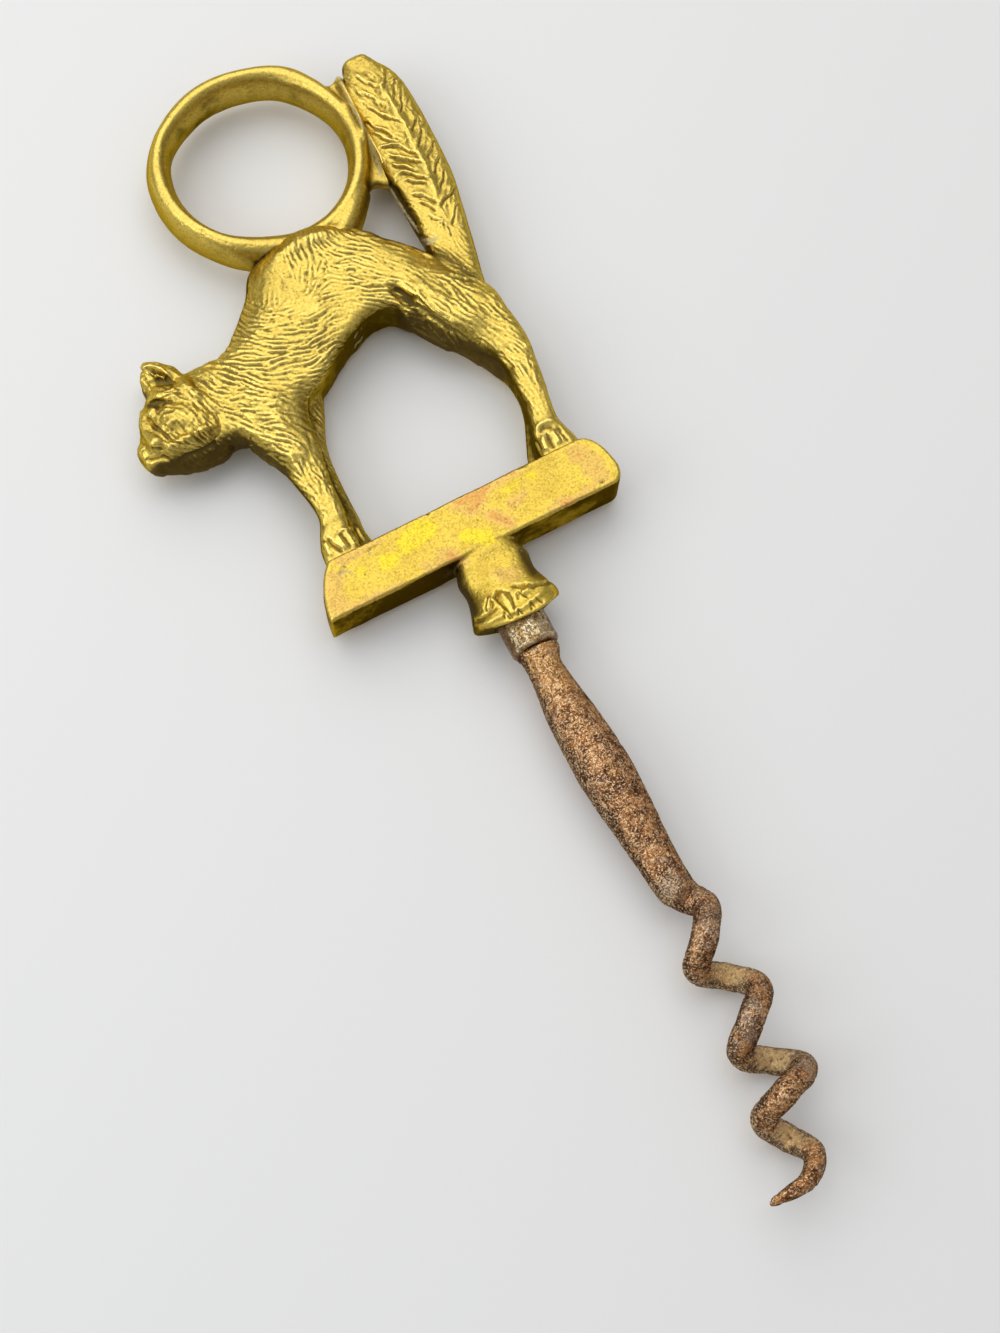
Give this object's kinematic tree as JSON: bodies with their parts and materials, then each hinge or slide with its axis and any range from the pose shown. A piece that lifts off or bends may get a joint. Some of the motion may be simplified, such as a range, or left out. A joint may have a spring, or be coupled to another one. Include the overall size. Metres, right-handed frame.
{
  "type": "figural corkscrew",
  "caption": "Direct-pull corkscrew with a cast cat handle, a finger ring over its back, an upright tail, a plinth bar and a helical worm on a spindle shank.",
  "frame": {"origin": "on the worm's line, in the middle of the plinth's flat back face", "axes": "+Y from the worm's point to the finger ring, +X along the plinth from the cat's head to its tail, +Z out of the front of the casting"},
  "size_m": [0.056, 0.1661, 0.0092],
  "materials": {
    "casting": "satin, aged",
    "collar": "pitted and worn",
    "worm": "rusty forged steel"
  },
  "bodies": {
    "root": {"cat_handle": "casting", "shank_collar": "collar", "worm": "worm"}
  },
  "joints": []
}
